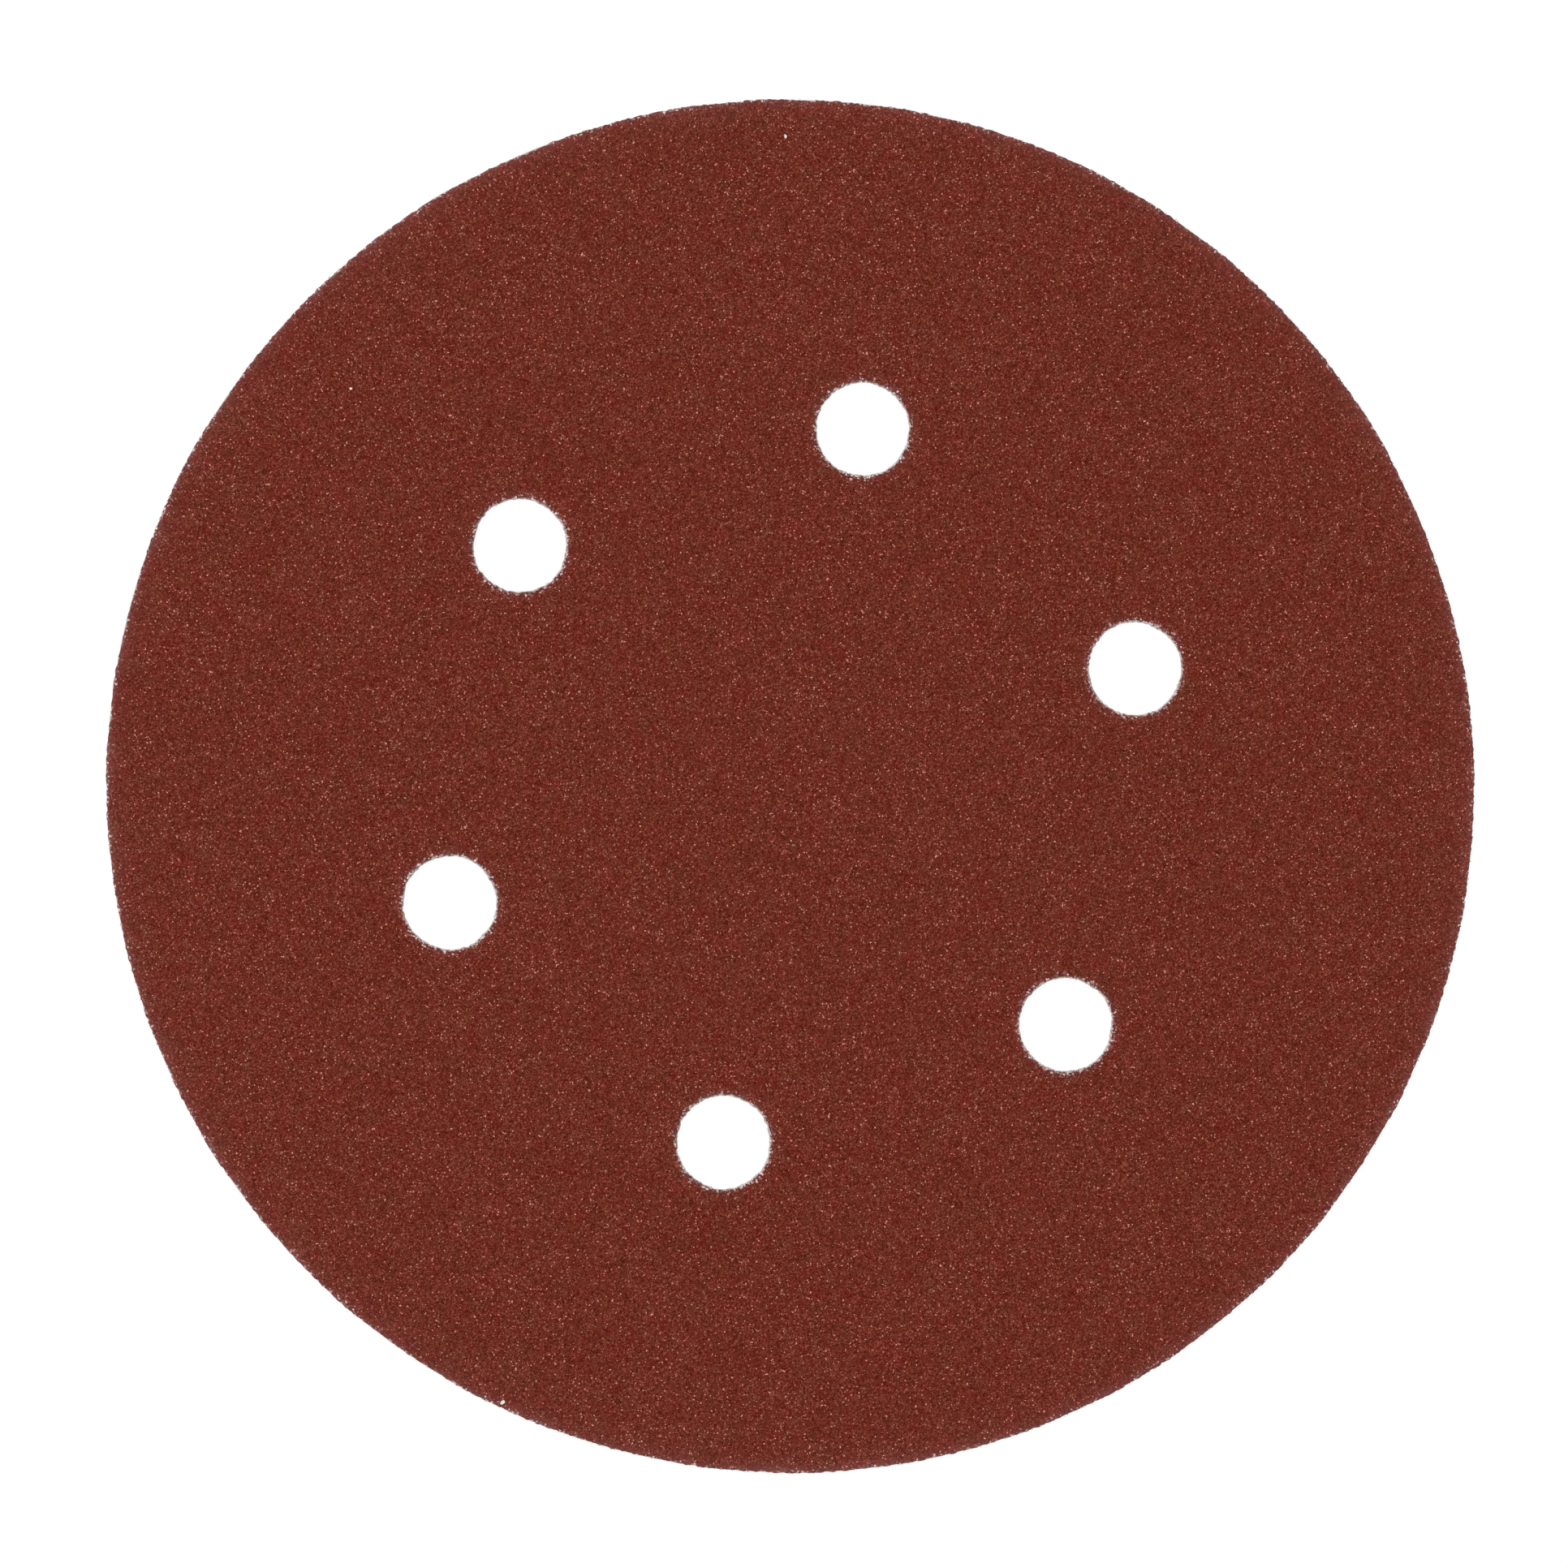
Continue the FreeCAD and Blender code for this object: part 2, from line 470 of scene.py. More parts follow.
class Finish:
    """A material or world in the making, with the methods that add its nodes."""

    def __init__(self, owner):
        owner.use_nodes = True
        self.owner = owner
        self.tree = owner.node_tree
        self.tree.nodes.clear()

    def node(self, kind, inputs=None, settings=None, output=0):
        """Adds a node with these inputs and settings, and gives back one of its outputs."""
        made = self.tree.nodes.new(kind)
        for setting, value in (settings or {}).items():
            setattr(made, setting, value)
        for name, value in (inputs or {}).items():
            socket = made.inputs[name]
            if isinstance(value, Value):
                self.tree.links.new(value.socket, socket)
            else:
                socket.default_value = value
        return Value(self, made.outputs[output])

    def mix(self, factor, first, second, blend="MIX"):
        """A colour between two others, or their product."""
        fill = {0: factor, 6: self.tint(first), 7: self.tint(second)}
        settings = {"data_type": "RGBA", "blend_type": blend}
        return self.node("ShaderNodeMix", fill, settings, output=2)

    def tint(self, value):
        """A colour as a mix node takes it, from a socket or three numbers."""
        return value if isinstance(value, Value) else (*value, 1.0)

    def place(self):
        """Where on the disc the shaded point is, in metres."""
        return self.node("ShaderNodeTexCoord", output="Object")

    def scaled(self, place, factors):
        """A place with each axis multiplied by its own factor."""
        return self.node("ShaderNodeVectorMath", {0: place, 1: factors}, {"operation": "MULTIPLY"})

    def apart(self, place, middle):
        """How far a place in the plan is from this plan point."""
        fill = {0: place, 1: (*middle, 0.0)}
        return self.node("ShaderNodeVectorMath", fill, {"operation": "DISTANCE"}, output="Value")

    def own_tone(self):
        """The tone that the mesh holds at this point."""
        return self.node("ShaderNodeAttribute", settings={"attribute_name": TONE}, output="Fac")

    def cells(self, place, width, output="Color"):
        """Cells of about this width: a random colour in each, or the distance to its middle."""
        fill = {"Vector": place, "Scale": 1 / width}
        return self.node("ShaderNodeTexVoronoi", fill, output=output)

    def noise(self, place, width, detail=2.0):
        """Smooth noise of about this width, near 0.5 on average."""
        fill = {"Vector": place, "Scale": 1 / width, "Detail": detail}
        return self.node("ShaderNodeTexNoise", fill)

    def channel(self, tint, name):
        """One channel of a colour."""
        return self.node("ShaderNodeSeparateColor", {"Color": tint}, output=name)

    def ramp(self, factor, stops):
        """The colour at this place on a ramp, whose stops are pairs of a position and a colour."""
        shown = self.node("ShaderNodeValToRGB", {"Fac": factor})
        elements = shown.socket.node.color_ramp.elements
        while len(elements) < len(stops):
            elements.new(1.0)
        for element, (position, tint) in zip(elements, stops):
            element.position = position
            element.color = (*tint, 1.0)
        return shown

    def relief(self, height, strength, depth=SHEET_RELIEF):
        """A normal that follows this height map."""
        fill = {"Strength": strength, "Distance": depth, "Height": height}
        return self.node("ShaderNodeBump", fill)

    def surface(self, inputs):
        """Ends the material in a principled shader with these inputs."""
        return self.end(self.node("ShaderNodeBsdfPrincipled", inputs))

    def end(self, shader):
        """Links the shader to the material's or the world's output."""
        world = isinstance(self.owner, bpy.types.World)
        made = self.tree.nodes.new("ShaderNodeOutputWorld" if world else "ShaderNodeOutputMaterial")
        self.tree.links.new(shader.socket, made.inputs["Surface"])
        return self.owner


def cut_distances(finish, place, sizes):
    """Shader values: how far the point lies in from the rim and from the nearest hole, in metres."""
    flat = finish.scaled(place, (1, 1, 0))
    nearest, *others = [finish.apart(flat, centre) for centre in hole_centres(sizes)]
    for away in others:
        nearest = nearest.least(away)
    return sizes.rim_radius - finish.apart(flat, (0.0, 0.0)), nearest - sizes.hole_radius


def coat_colour(finish, place, sizes, colours):
    """A tone for each grain with painted shade and painted light in it, flecks of bare grain and painted
    glints, and a speckle of torn coat along the cuts.
    """
    grains = finish.channel(finish.cells(place, sizes.grain_cell), "Red")
    patches = finish.noise(place, TONE_PATCH, detail=3.0)
    clouds = finish.noise(place, TONE_CLOUD, detail=1.0)
    tone = 0.06 + 0.865 * grains + (patches - 0.5) * 0.07 + (clouds - 0.5) * 0.04
    tone = (tone + finish.own_tone()).held()
    # The ramp runs from painted shade in the pits, through the resin's own tones, to painted light on
    # the grain tops, and its white end is partly painted glints
    stops = [
        (0.0, colours.resin_shade),
        (0.15, colours.resin_deep),
        (0.50, colours.resin),
        (0.78, colours.resin_lit),
        (0.90, colours.grain_dull),
        (0.965, colours.grain_pale),
        (1.0, colours.white_grain_and_glint),
    ]
    base = finish.ramp(tone, stops)
    hue = finish.noise(place, HUE_PATCH, detail=3.0).sharpened(2.7)
    tint = finish.mix(hue, colours.browner, colours.redder)
    # The resin takes the tint, and the palest grains and painted glints keep their colour
    base = finish.mix(((0.95 - tone) * 4).held(), base, tint, "MULTIPLY")
    veil = finish.noise(place, VEIL_PATCH, detail=3.0).sharpened(2.5)
    base = finish.mix(1.0, base, finish.mix(veil, colours.yellower, colours.mauver), "MULTIPLY")
    # Two or three cells in a hundred are bare flecks, partly pale bare grain and partly painted glints
    bare = finish.channel(finish.cells(place, sizes.bare_and_glint_cell), "Blue")
    base = finish.mix(((bare - 0.974) / 0.018).held() * 0.95, base, colours.bare_grain_and_glint)

    # The coat is rubbed paler towards a cut, and broken open in specks right along it
    rim, holes = cut_distances(finish, place, sizes)
    rubbed = rim.fading(RIM_RUB) * 0.30 + rim.fading(FAINT_RUB) * 0.05 + holes.fading(HOLE_RUB) * 0.13
    smears = finish.noise(place, SMEAR)
    base = finish.mix((rubbed * (0.1 + smears * 1.8)).held(), base, colours.scuffed)
    specks = finish.cells(place, TORN_SPECK)
    # The dark end, torn_shade, is painted shade in the broken pits, and the pale end is bare grain and
    # paper
    stops = [(0.0, colours.torn_shade), (0.40, colours.torn), (1.0, colours.torn_pale)]
    torn = finish.ramp(finish.channel(specks, "Green"), stops)
    stretches = finish.noise(place, TORN_STRETCH, detail=3.0)
    broken = (holes.fading(TORN_REACH) * 1.20).most(rim.fading(TORN_REACH) * 0.80)
    broken = broken * (0.4 + stretches * 1.2)
    chipped = ((broken - finish.channel(specks, "Red")) * 6).held()
    return finish.mix(chipped * 0.9, base, torn)


def coat_material(sizes, colours):
    """Grains bonded in resin, dull, with a little more shine on some."""
    finish = Finish(bpy.data.materials.new("grain_coat"))
    place = finish.place()
    depth = finish.cells(place, sizes.grain_cell, output="Distance")
    polish = finish.channel(finish.cells(place, sizes.grain_cell), "Green")
    return finish.surface({
        "Base Color": coat_colour(finish, place, sizes, colours),
        "Roughness": 0.82 - 0.34 * polish,
        "Specular IOR Level": 0.06,
        "Normal": finish.relief(1 - depth, 0.55),
    })


def cut_edge_material(sizes, colours):
    """The sheet's edge: torn coat above, and pale fibrous paper in the cut below it."""
    finish = Finish(bpy.data.materials.new("cut_edge"))
    place = finish.place()
    height = finish.node("ShaderNodeSeparateXYZ", {"Vector": place}, output="Z")
    # The paper's fibres lie level, so they look four times as long as they are high
    layers = finish.noise(finish.scaled(place, (1, 1, 4)), PAPER_FIBRE, detail=4.0)
    # The paper's own fibres with painted shade between them, made paler as painted light on the cut wall
    fibres = finish.mix((layers * 1.9 - 0.45).held(), colours.paper_shade, colours.paper)
    rim, _ = cut_distances(finish, place, sizes)
    # Resin has run over the paper's edge at the rim, and the holes were punched after it set
    seam = sizes.paper_bottom + sizes.paper - rim.fading(RESIN_REACH) * sizes.resin_run
    above = ((height + (layers - 0.5) * SEAM_STRAY - seam) / SEAM_BLUR).held()
    base = finish.mix(above, fibres, coat_colour(finish, place, sizes, colours))
    return finish.surface({
        "Base Color": base,
        "Roughness": 0.72 + 0.2 * layers,
        "Specular IOR Level": 0.12,
        "Normal": finish.relief(layers, 0.5),
    })


def fabric_material(name, colours, lightness):
    """Brushed synthetic knit: filaments drawn out lengthwise, with a tone for each strand."""
    finish = Finish(bpy.data.materials.new(name))
    place = finish.place()
    filaments = finish.noise(finish.scaled(place, (1, 0.3, 1)), FILAMENT, detail=3.0)
    patches = finish.noise(place, FABRIC_PATCH)
    # fabric_shade, in the depths between the filaments, is painted shade between the strands
    tone = filaments * 0.9 + (patches - 0.5) * 0.35 + finish.own_tone() + lightness
    return finish.surface({
        "Base Color": finish.mix(tone.held(), colours.fabric_shade, colours.fabric),
        "Roughness": 0.78 + 0.15 * filaments,
        "Specular IOR Level": 0.2,
        "Sheen Weight": 0.15,
        "Sheen Roughness": 0.6,
        "Normal": finish.relief(filaments, 0.4, FABRIC_RELIEF),
    })


def chip_material(colours):
    """Pale chips, a little uneven, with painted shade in their hollows."""
    finish = Finish(bpy.data.materials.new("pale_chip"))
    specks = finish.noise(finish.place(), CHIP_SPECK)
    # chip_shade in the specks is painted shade in the chips' hollows
    base = finish.mix((specks * 2 - 0.3).held(), colours.chip_shade, colours.chip)
    roughness = 0.55 + 0.3 * specks
    return finish.surface({"Base Color": base, "Roughness": roughness, "Specular IOR Level": 0.2})


class SANDING_OT_make_coat(bpy.types.Operator):
    """Make the grain coat: the uneven resin face over the whole disc"""

    bl_idname = "sanding.make_coat"
    bl_label = "Grain coat"

    # How uneven the face is: from point to point, and in slow swells of a width and a height
    ROUGHNESS = 0.012 * MM
    SWELL_WIDTH, SWELL_HEIGHT = 2.5 * MM, 0.008 * MM
    # How far it stays below the grains' tips
    BELOW_TIPS = 0.03 * MM

    def execute(self, context):
        sizes = context.scene.disc_sizes
        rng = np.random.default_rng(11)
        plan, triangles, on_end = plan_lattice(sizes.coat_pitch, sizes.coat_inset, sizes)
        shift = rng.uniform(-0.2, 0.2, plan.shape) * sizes.coat_pitch
        plan = plan + shift * ~on_end[:, None]
        height = sizes.grain_top - sizes.coat_below_top + rng.normal(0, self.ROUGHNESS, len(plan))
        height += soft_noise(plan, self.SWELL_WIDTH, rng) * self.SWELL_HEIGHT
        height = np.minimum(height, sizes.grain_top - self.BELOW_TIPS)
        points = np.column_stack([plan, height])
        material = coat_material(sizes, context.scene.disc_colours)
        piece = add_piece("grain_coat", points, triangles, 0.0, True, material)
        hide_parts("abrasive_sheet")
        return {"FINISHED"}


class SANDING_OT_make_cut_edges(bpy.types.Operator):
    """Make the sheet's edge at the rim and in each hole: crumbled coat over cut paper"""

    bl_idname = "sanding.make_cut_edges"
    bl_label = "Cut edges"

    def execute(self, context):
        sizes = context.scene.disc_sizes
        rng = np.random.default_rng(12)
        rings = [((0.0, 0.0), sizes.rim_radius, -1, sizes.rim_trim)]
        rings += [(centre, sizes.hole_radius, 1, -sizes.hole_trim) for centre in hole_centres(sizes)]
        parts = [self.ring(*ring, sizes, rng) for ring in rings]
        starts = np.cumsum([0] + [len(points) for points, _ in parts])
        points = np.concatenate([points for points, _ in parts])
        faces = np.concatenate([part[1] + start for part, start in zip(parts, starts)])
        material = cut_edge_material(sizes, context.scene.disc_colours)
        piece = add_piece("cut_edges", points, faces, 0.0, True, material)
        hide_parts("abrasive_sheet")
        return {"FINISHED"}

    def ring(self, centre, radius, inward, trim, sizes, rng):
        """One closed cut: from just under the coat, over the crumbled edge and down the paper."""
        coat = sizes.grain_top - sizes.coat_below_top
        seam = sizes.paper_bottom + sizes.paper
        # Each row's depth in from the cut, height, unevenness, and share of the cut's waves
        profile = [
            (0.62 * MM, coat - 0.09 * MM, 0.02 * MM, 0.0),
            (0.34 * MM, coat - 0.005 * MM, 0.02 * MM, 0.5),
            (0.17 * MM, coat + 0.005 * MM, 0.04 * MM, 1.0),
            (0.075 * MM, coat - 0.04 * MM, sizes.edge_crumble / 2, 1.0),
            (0.02 * MM, seam, sizes.edge_crumble / 4, 1.0),
            (0.0, (sizes.paper_bottom + seam) / 2, 0.03 * MM, 1.0),
            (0.0, sizes.paper_bottom, 0.02 * MM, 1.0),
        ]
        steps = round(2 * math.pi * radius / sizes.edge_pitch)
        turns = even_turns(steps)
        way = on_circle(turns)
        cut = strayed(turns, radius, rng) + trim
        if trim > 0:
            cut = np.maximum(cut, 0)
        rows = []
        for depth, height, unevenness, follows in profile:
            back = depth + cut * follows + np.abs(rng.normal(0, 1, steps)).clip(0, 2) * unevenness
            reach = radius + inward * back
            lift = rng.uniform(-0.4, 0.4, steps) * unevenness
            top = np.maximum(height + lift, sizes.paper_bottom)
            rows.append(np.column_stack([way * reach[:, None] + centre, top]))
        name = np.arange(len(profile) * steps).reshape(len(profile), steps)
        here, beside = name[:-1], np.roll(name[:-1], -1, axis=1)
        below, across = name[1:], np.roll(name[1:], -1, axis=1)
        faces = [np.stack([here, below, across], -1), np.stack([here, across, beside], -1)]
        faces = np.concatenate([face.reshape(-1, 3) for face in faces])
        if inward > 0:
            faces = faces[:, ::-1]
        return np.concatenate(rows), faces


class SANDING_OT_make_grains(bpy.types.Operator):
    """Make the grains that stand out of the coat, small and large"""

    bl_idname = "sanding.make_grains"
    bl_label = "Grains"

    # How far their tips lie below the tallest: the usual spread, and the most
    TIP_SPREAD, TIP_DEPTH = 0.035 * MM, 0.10 * MM

    def execute(self, context):
        sizes = context.scene.disc_sizes
        material = bpy.data.materials["grain_coat"]
        shard = np.array([(1, 1, 1), (1, -1, -1), (-1, 1, -1), (-1, -1, 1)]) / math.sqrt(3)
        shard_faces = np.array([(0, 1, 2), (0, 3, 1), (0, 2, 3), (1, 3, 2)])
        belt = np.column_stack([on_circle(even_turns(3)), np.zeros(3)])
        block = np.concatenate([belt, [(0, 0, 0.8), (0, 0, -0.8)]])
        block_faces = np.array([(0, 1, 3), (1, 2, 3), (2, 0, 3), (1, 0, 4), (2, 1, 4), (0, 2, 4)])
        small = ("small_grains", sizes.small_grains, sizes.small_grain, shard, shard_faces, 21)
        large = ("large_grains", sizes.large_grains, sizes.large_grain, block, block_faces, 22)
        for kind in (small, large):
            self.make(*kind, material, sizes)
        return {"FINISHED"}

    def make(self, name, amount, width, template, faces, seed, material, sizes):
        """One piece of loose solids, each sunk in the coat with its tip near the top."""
        rng = np.random.default_rng(seed)
        plan = scatter(amount, width * 0.45, sizes, rng)
        scales = rng.uniform(0.62, 1.15, (amount, 3)) * width / 2
        corners, triangles = solids(plan, template, faces, scales, rng)
        spread = np.linalg.norm(corners[:, :, :2], axis=2).max(1)
        depth, inward = nearest_cut(plan, sizes)
        plan = plan + inward * np.maximum(0, spread - depth)[:, None]
        drop = np.abs(rng.normal(0, self.TIP_SPREAD, amount)).clip(0, self.TIP_DEPTH)
        tips = sizes.grain_top - drop
        corners[:, :, 2] += (tips - corners[:, :, 2].max(1))[:, None]
        corners[:, :, :2] += plan[:, None]
        tones = rng.normal(0, 0.05, amount)
        add_piece(name, corners.reshape(-1, 3), triangles, tones, False, material)


class SANDING_OT_make_ground(bpy.types.Operator):
    """Make the knitted ground that carries the loops, glued flat under the paper"""

    bl_idname = "sanding.make_ground"
    bl_label = "Knitted ground"

    # The knit's ribs underneath, and how uneven it is from point to point
    RIB_WIDTH, RIB_HEIGHT = 2.4 * MM, 0.012 * MM
    ROUGHNESS = 0.01 * MM

    def execute(self, context):
        sizes = context.scene.disc_sizes
        rng = np.random.default_rng(31)
        plan, triangles, on_end = plan_lattice(sizes.ground_pitch, sizes.ground_inset, sizes)
        ribs = np.cos(plan[:, 0] * 2 * math.pi / self.RIB_WIDTH) * self.RIB_HEIGHT
        low = sizes.paper_bottom - sizes.ground + ribs + rng.normal(0, self.ROUGHNESS, len(plan))
        upper = np.column_stack([plan, np.full(len(plan), sizes.paper_bottom)])
        lower = np.column_stack([plan, low])
        edges = triangles[:, [0, 1, 1, 2, 2, 0]].reshape(-1, 2)
        _, kind, uses = np.unique(np.sort(edges, 1), axis=0, return_inverse=True, return_counts=True)
        # An edge that only one triangle has is on the outline, and a wall stands under it
        a, b = edges[uses[kind.ravel()] == 1].T
        start = len(plan)
        walls = [np.column_stack([b, a, a + start]), np.column_stack([b, a + start, b + start])]
        faces = np.concatenate([triangles, triangles[:, ::-1] + start, *walls])
        points = np.concatenate([upper, lower])
        material = fabric_material("knitted_ground", context.scene.disc_colours, -0.25)
        piece = add_piece("loop_ground", points, faces, 0.0, False, material)
        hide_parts("loop_backing")
        return {"FINISHED"}


class SANDING_OT_make_pile(bpy.types.Operator):
    """Make the loops that hang from the knitted ground and grip the pad"""

    bl_idname = "sanding.make_pile"
    bl_label = "Loop pile"

    # How far the roots stray from the knit's rows, and how deep they sit in the ground
    ROOT_STRAY, ROOT_DEPTH = 0.16 * MM, 0.03 * MM
    # How far the loops' ends stray in height, and how far the loops lean
    TIP_STRAY, LEAN = 0.05 * MM, 0.12 * MM

    def execute(self, context):
        sizes = context.scene.disc_sizes
        material = fabric_material("loop_strands", context.scene.disc_colours, 0.1)
        for name, offset, seed in (("loop_pile", 0.0, 41), ("loop_pile_under", 0.5, 42)):
            self.make(name, offset, material, sizes, seed)
        return {"FINISHED"}

    def make(self, name, offset, material, sizes, seed):
        """One piece of loops, set in the knit's rows and leaning at random."""
        rng = np.random.default_rng(seed)
        across, along = 2 * sizes.wale_pitch, sizes.course_pitch
        columns = math.ceil(sizes.rim_radius / across)
        rows = math.ceil(sizes.rim_radius / along)
        j, i = np.meshgrid(np.arange(-rows, rows + 1), np.arange(-columns, columns + 1))
        plan = np.stack([(i + offset) * across, (j + 0.5 * offset) * along], -1).reshape(-1, 2)
        plan = plan + rng.normal(0, self.ROOT_STRAY, plan.shape)
        plan = plan[nearest_cut(plan, sizes)[0] > sizes.loop_span * 0.42]
        turn = rng.normal(0.5 * math.pi, 0.75, len(plan))
        way = np.column_stack([on_circle(turn), np.zeros(len(plan))])
        side = np.cross((0, 0, 1), way)
        root = sizes.paper_bottom - sizes.ground + self.ROOT_DEPTH
        stray = np.abs(rng.normal(0, self.TIP_STRAY, len(plan)))
        tip = sizes.pile_bottom + sizes.strand / 2 + stray
        middle = np.column_stack([plan, np.full(len(plan), root)])
        span = rng.uniform(0.75, 1.1, len(plan)) * sizes.loop_span / 2
        lean = rng.normal(0, self.LEAN, len(plan))
        path = []
        for reach, drop in ((-1.0, 0.0), (-0.55, 1.0), (0.55, 1.0), (1.0, 0.0)):
            point = middle + way * (reach * span)[:, None] + side * (lean * drop)[:, None]
            point[:, 2] = np.where(drop > 0, tip, root)
            path.append(point)
        thickness = rng.uniform(0.7, 1.25, len(plan)) * sizes.strand
        points, faces = strands(np.stack(path, 1), thickness, side)
        points[:, 2] = np.maximum(points[:, 2], sizes.pile_bottom)
        tones = rng.normal(0, 0.16, len(plan))
        add_piece(name, points, faces, tones, True, material)


class SANDING_OT_make_fibres(bpy.types.Operator):
    """Make the short fibres that stand out of the cut at the rim and in each hole"""

    bl_idname = "sanding.make_fibres"
    bl_label = "Edge fibres"

    # How long the fibres at the rim and in the holes are, as shares of their drawn length
    RIM_SHARE, HOLE_SHARE = 0.55, 1.0
    # How deep their roots sit in the cut, and the shortest drawn length
    ROOT_DEPTH, SHORTEST = 0.06 * MM, 0.08 * MM
    # Roots lie from this height to this far above the seam of fabric and paper
    LOWEST_ROOT, ABOVE_SEAM = 0.12 * MM, 0.2 * MM
    # How far the tips keep above the floor, and below the tallest grains
    ABOVE_FLOOR, BELOW_GRAINS = 0.03 * MM, 0.05 * MM

    def execute(self, context):
        sizes = context.scene.disc_sizes
        rng = np.random.default_rng(51)
        roots, ways, shares = [], [], []
        cuts = [((0.0, 0.0), sizes.rim_radius, 1, self.RIM_SHARE)]
        cuts += [(centre, sizes.hole_radius, -1, self.HOLE_SHARE) for centre in hole_centres(sizes)]
        for centre, radius, outward, share_of_length in cuts:
            amount = round(2 * math.pi * radius / sizes.fibre_spacing)
            shares.append(np.full(amount, share_of_length))
            turns = rng.uniform(0, 2 * math.pi, amount)
            way = np.column_stack([on_circle(turns), np.zeros(amount)])
            root = way * (radius - outward * self.ROOT_DEPTH)
            root[:, :2] += centre
            roots.append(root)
            ways.append(way * outward)
        root, way = np.concatenate(roots), np.concatenate(ways)
        amount = len(root)
        side = np.cross((0, 0, 1), way)
        root[:, 2] = rng.uniform(self.LOWEST_ROOT, sizes.paper_bottom + self.ABOVE_SEAM, amount)
        # Most are short, and a few are near the longest
        extra = rng.uniform(0, 1, amount) ** 3
        reach = self.SHORTEST + (sizes.fibre_reach - self.ROOT_DEPTH) * extra
        reach = reach * np.concatenate(shares)
        sweep = rng.normal(0, 0.6, amount)
        bend = rng.normal(0, 0.35, amount)
        middle = root + way * (0.55 * reach)[:, None] + side * (0.25 * sweep * reach)[:, None]
        tip = root + way * reach[:, None] + side * (sweep * reach)[:, None]
        height = tip[:, 2] + bend * reach
        tip[:, 2] = np.clip(height, self.ABOVE_FLOOR, sizes.grain_top - self.BELOW_GRAINS)
        path = np.stack([root, middle, tip], 1)
        thickness = rng.uniform(0.6, 1.3, amount) * sizes.fibre
        points, faces = strands(path, thickness, side)
        material = bpy.data.materials["loop_strands"]
        tones = rng.normal(0.15, 0.15, amount)
        fibres = add_piece("edge_fibres", points, faces, tones, False, material)
        self.declare_cloth(sizes, fibres)
        return {"FINISHED"}

    def declare_cloth(self, sizes, fibres):
        """Takes no step: nothing is declared here."""


class SANDING_OT_make_chips(bpy.types.Operator):
    """Make the few pale chips that lie on the face"""

    bl_idname = "sanding.make_chips"
    bl_label = "Pale chips"

    # Where each chip is in the photograph, with its length, width and turn in degrees
    CHIPS = (
        ((619, 1727), 0.60 * MM, 0.42 * MM, 35),
        ((968, 167), 0.54 * MM, 0.30 * MM, 105),
        ((431, 481), 0.36 * MM, 0.30 * MM, 0),
    )
    SIDES = 11
    # How deep a chip is set in the coat, and how far its face lies below the tallest grains
    FOOT_DEPTH, FACE_DEPTH = 0.11 * MM, 0.02 * MM

    def execute(self, context):
        scene = context.scene
        rng = np.random.default_rng(61)
        chips = [self.chip(*chip, scene, rng) for chip in self.CHIPS]
        each = 2 * self.SIDES + 2
        low, high = np.arange(self.SIDES), np.arange(self.SIDES) + self.SIDES
        low_next, high_next = np.roll(low, -1), np.roll(high, -1)
        bottom, top = np.full((2, self.SIDES), [[each - 2], [each - 1]])
        faces = np.concatenate([
            np.column_stack([low_next, low, bottom]),
            np.column_stack([low, low_next, high_next]),
            np.column_stack([low, high_next, high]),
            np.column_stack([high, high_next, top]),
        ])
        faces = np.concatenate([faces + each * place for place in range(len(chips))])
        points = np.concatenate(chips)
        material = chip_material(scene.disc_colours)
        add_piece("pale_chips", points, faces, 0.0, False, material)
        return {"FINISHED"}

    def chip(self, pixel, long_side, short_side, turn, scene, rng):
        """A ragged flat flake set in the coat: its foot, its shoulder and the middle of both."""
        sizes = scene.disc_sizes
        middle = on_disc(*pixel, sizes, scene.disc_stage)
        turns = even_turns(self.SIDES)
        along, across = np.cos(turns) * long_side / 2, np.sin(turns) * short_side / 2
        turn = math.radians(turn) - scene.disc_stage.hole_bearing
        outline = turned(along, across, turn) * rng.uniform(0.75, 1.1, (self.SIDES, 1))
        foot = sizes.grain_top - self.FOOT_DEPTH
        shoulder = sizes.grain_top - rng.uniform(0.0, self.FACE_DEPTH, self.SIDES)
        return np.concatenate([
            np.column_stack([outline + middle, np.full(self.SIDES, foot)]),
            np.column_stack([outline * 0.85 + middle, shoulder]),
            [(*middle, foot), (*middle, sizes.grain_top - self.FACE_DEPTH / 2)],
        ])


def photo_scale(sizes):
    """Metres on the disc to one pixel of the photograph."""
    return 2 * sizes.rim_radius / DISC_WIDTH_PX


def on_disc(x, y, sizes, stage):
    """The plan point of the disc that a pixel of the photograph shows."""
    scale = photo_scale(sizes)
    right, up = (x - DISC_CENTRE_PX[0]) * scale, (DISC_CENTRE_PX[1] - y) * scale
    return turned(right, up, -stage.hole_bearing)


def toward(bearing, height, stage):
    """A direction in the disc's frame, from a bearing in the picture and a height above level."""
    turn = bearing - stage.hole_bearing
    level = math.cos(height)
    return Vector((level * math.cos(turn), level * math.sin(turn), math.sin(height)))


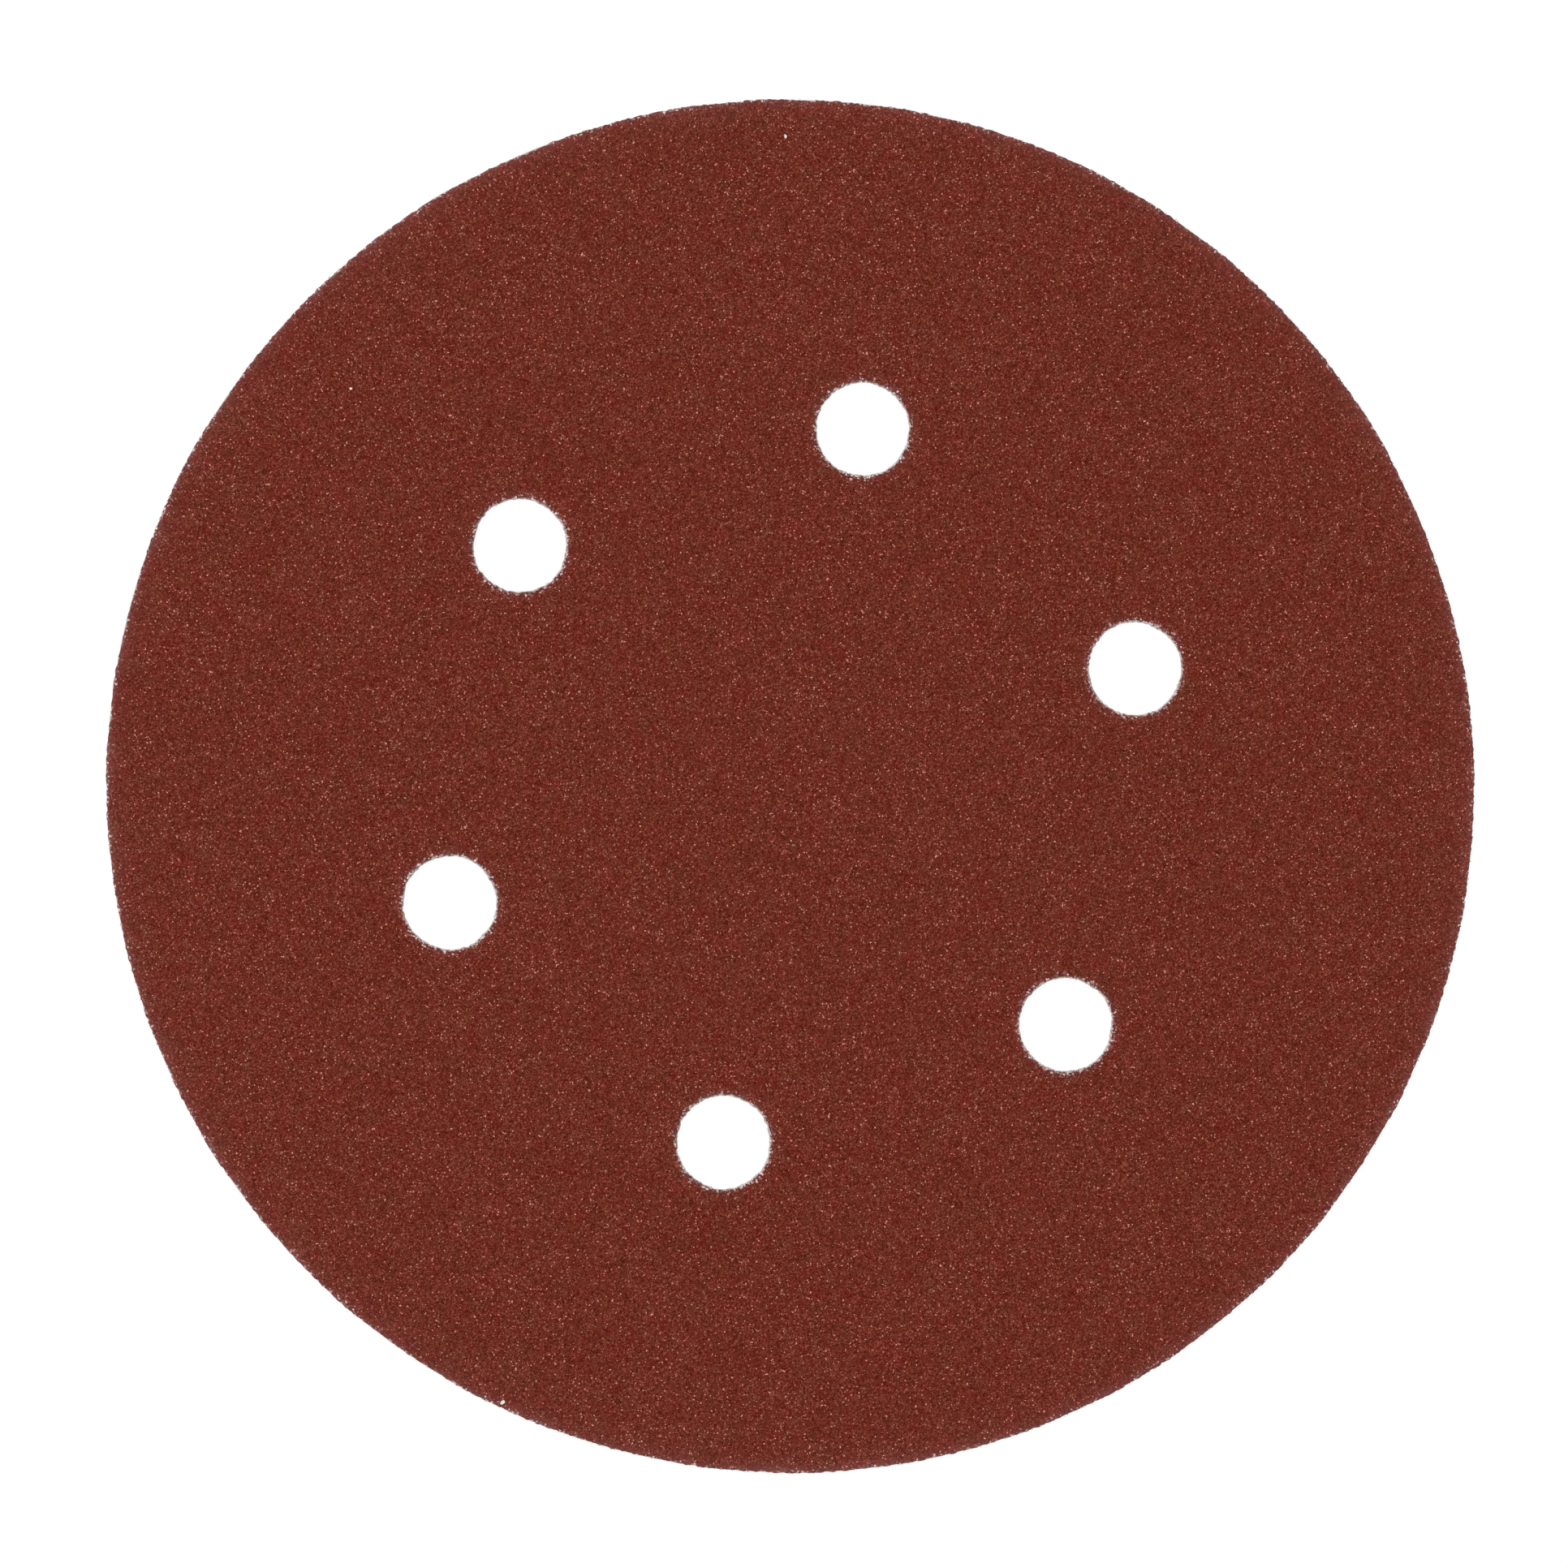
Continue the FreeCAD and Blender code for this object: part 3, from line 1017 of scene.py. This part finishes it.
class SANDING_OT_make_stage(bpy.types.Operator):
    """Make the floor, the light all round, the lamps and the camera"""

    bl_idname = "sanding.make_stage"
    bl_label = "Stage"

    # How far the floor lies under the disc, so that no faces share a plane
    FLOOR_DROP = 0.01 * MM

    def execute(self, context):
        scene = context.scene
        stage = scene.disc_stage
        self.make_floor(stage)
        self.make_sky(scene, stage)
        for name, height in (("key_lamp", stage.lamp_height), ("under_lamp", -math.pi / 2)):
            self.make_lamp(name, toward(stage.lamp_bearing, height, stage), stage)
        self.make_camera(scene, stage)
        scene.view_settings.view_transform = "Standard"
        return {"FINISHED"}

    def seen(self, finish):
        """Shader value: 1 for what the camera sees, by itself, in a gloss or through glass."""
        rays = [finish.node("ShaderNodeLightPath", output=f"Is {kind} Ray")
                for kind in ("Camera", "Glossy", "Transmission")]
        return rays[0].most(rays[1]).most(rays[2])

    def make_floor(self, stage):
        """A pale floor that shows from above and lets light through to the disc's underside."""
        finish = Finish(bpy.data.materials.new("pale_floor"))
        tint = (*[stage.floor_tone] * 3, 1.0)
        matt = finish.node("ShaderNodeBsdfDiffuse", {"Color": tint})
        glow = finish.node("ShaderNodeEmission", {"Strength": stage.floor_glow})
        pale = finish.node("ShaderNodeAddShader", {0: matt, 1: glow})
        clear = finish.node("ShaderNodeBsdfTransparent")
        behind = finish.node("ShaderNodeNewGeometry", output="Backfacing")
        shown = self.seen(finish) * (1 - behind)
        finish.end(finish.node("ShaderNodeMixShader", {0: shown, 1: clear, 2: pale}))
        half = stage.floor_width / 2
        mesh = bpy.data.meshes.new("floor")
        corners = [(-half, -half, 0), (half, -half, 0), (half, half, 0), (-half, half, 0)]
        mesh.from_pydata(corners, [], [(0, 1, 2, 3)])
        mesh.materials.append(finish.owner)
        floor = add_object("floor", mesh)
        floor.location.z = -self.FLOOR_DROP

    def make_sky(self, scene, stage):
        """Even light from all round, which the camera sees as white."""
        world = bpy.data.worlds.new("plain_studio")
        scene.world = world
        finish = Finish(world)
        white = (1.0, 1.0, 1.0, 1.0)
        dim, bright = [
            finish.node("ShaderNodeBackground", {"Color": white, "Strength": strength})
            for strength in (stage.sky, 1.0)
        ]
        fill = {0: self.seen(finish), 1: dim, 2: bright}
        finish.end(finish.node("ShaderNodeMixShader", fill))

    def make_lamp(self, name, way, stage):
        """A soft square lamp whose light on the level disc is its share of the plain level."""
        light = bpy.data.lights.new(name, "AREA")
        light.shape = "SQUARE"
        light.size = stage.lamp_width
        slant = abs(way.z)
        light.energy = stage.lamp * (math.pi * stage.lamp_distance) ** 2 / slant
        turn = way.to_track_quat("Z", "Y").to_matrix().to_4x4()
        lamp = add_object(name, light)
        lamp.matrix_world = Matrix.Translation(way * stage.lamp_distance) @ turn

    def make_camera(self, scene, stage):
        """The photograph's view: a long lens, almost straight above."""
        data = bpy.data.cameras.new("camera")
        data.lens = stage.lens
        scene.camera = add_object("camera", data)
        back = toward(stage.lean_bearing, math.pi / 2 - stage.lean, stage)
        picture_up = toward(math.pi / 2, 0.0, stage)
        right = picture_up.cross(back).normalized()
        up = back.cross(right)
        sizes = scene.disc_sizes
        scale = photo_scale(sizes)
        off_right = (DISC_CENTRE_PX[0] - FRAME_PX / 2) * scale
        off_up = (FRAME_PX / 2 - DISC_CENTRE_PX[1]) * scale
        distance = FRAME_PX / 2 * scale / (data.sensor_width / 2 / data.lens)
        disc = Vector((0, 0, sizes.grain_top))
        place = disc + back * distance - right * off_right - up * off_up
        turn = Matrix((right, up, back)).transposed().to_4x4()
        scene.camera.matrix_world = Matrix.Translation(place) @ turn


class SANDING_PT_panel(bpy.types.Panel):
    """Lists the steps that build the disc"""

    bl_idname = "SANDING_PT_panel"
    bl_label = "Sanding disc"
    bl_space_type = "VIEW_3D"
    bl_region_type = "UI"
    bl_category = "Sanding disc"

    def draw(self, context):
        for step in STEPS:
            self.layout.operator(step.bl_idname)


STEPS = (
    SANDING_OT_make_coat,
    SANDING_OT_make_cut_edges,
    SANDING_OT_make_grains,
    SANDING_OT_make_ground,
    SANDING_OT_make_pile,
    SANDING_OT_make_fibres,
    SANDING_OT_make_chips,
    SANDING_OT_make_stage,
)
GROUPS = {"disc_sizes": DiscSizes, "disc_colours": DiscColours, "disc_stage": DiscStage}


def register():
    for group in GROUPS.values():
        bpy.utils.register_class(group)
    for name, group in GROUPS.items():
        setattr(bpy.types.Scene, name, bpy.props.PointerProperty(type=group))
    for step in STEPS:
        bpy.utils.register_class(step)
    bpy.utils.register_class(SANDING_PT_panel)


def unregister():
    bpy.utils.unregister_class(SANDING_PT_panel)
    for step in reversed(STEPS):
        bpy.utils.unregister_class(step)
    for name, group in GROUPS.items():
        delattr(bpy.types.Scene, name)
        bpy.utils.unregister_class(group)


def main():
    register()
    bpy.ops.sanding.make_coat()
    bpy.ops.sanding.make_cut_edges()
    bpy.ops.sanding.make_grains()
    bpy.ops.sanding.make_ground()
    bpy.ops.sanding.make_pile()
    bpy.ops.sanding.make_fibres()
    bpy.ops.sanding.make_chips()
    bpy.ops.sanding.make_stage()


if __name__ == "__main__":
    main()
